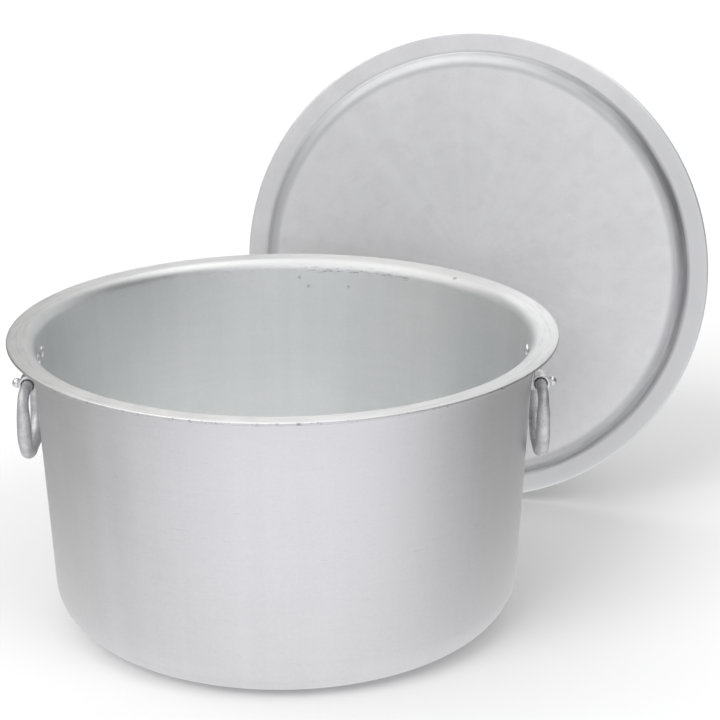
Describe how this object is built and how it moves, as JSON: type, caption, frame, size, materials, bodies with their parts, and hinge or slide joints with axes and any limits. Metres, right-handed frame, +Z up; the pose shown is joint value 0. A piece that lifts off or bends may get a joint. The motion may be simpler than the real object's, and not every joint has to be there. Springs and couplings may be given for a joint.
{
  "type": "tope pot",
  "caption": "Spun aluminium tope cooking pot with a flared lip, hinged ring handles in riveted eye brackets, and a loose flat lid with a plug that drops into the mouth.",
  "frame": {"origin": "middle of the pot's flat base, on the floor", "axes": "+Z up along the pot's axis, +X towards the right ring handle, -Y towards the front"},
  "size_m": [0.5948, 0.535, 0.4274],
  "materials": {
    "spun_pot": "satin spun",
    "spun_lid": "satin spun, lightly scratched",
    "bracket": "cast, matt",
    "ring": "cast, satin",
    "rivet": "plain"
  },
  "bodies": {
    "pot": {"pot_body": "spun_pot", "left_eye_bracket": "bracket", "right_eye_bracket": "bracket", "left_front_rivet": "rivet", "left_back_rivet": "rivet", "right_front_rivet": "rivet", "right_back_rivet": "rivet"},
    "left_ring": {"left_ring_handle": "ring"},
    "right_ring": {"right_ring_handle": "ring"},
    "lid": {"lid": "spun_lid"}
  },
  "joints": [
    {"name": "left_ring_swing", "type": "hinge", "parent": "pot", "child": "left_ring", "pos_m": [-0.20679, 0, 0.191], "axis": [0, 1, 0], "range_deg": [-4, 155]},
    {"name": "right_ring_swing", "type": "hinge", "parent": "pot", "child": "right_ring", "pos_m": [0.20679, 0, 0.191], "axis": [0, -1, 0], "range_deg": [-4, 155]},
    {"name": "lid_lift", "type": "slide", "parent": "pot", "child": "lid", "axis": [0, 0, 1], "range_m": [0, 0.3]}
  ]
}
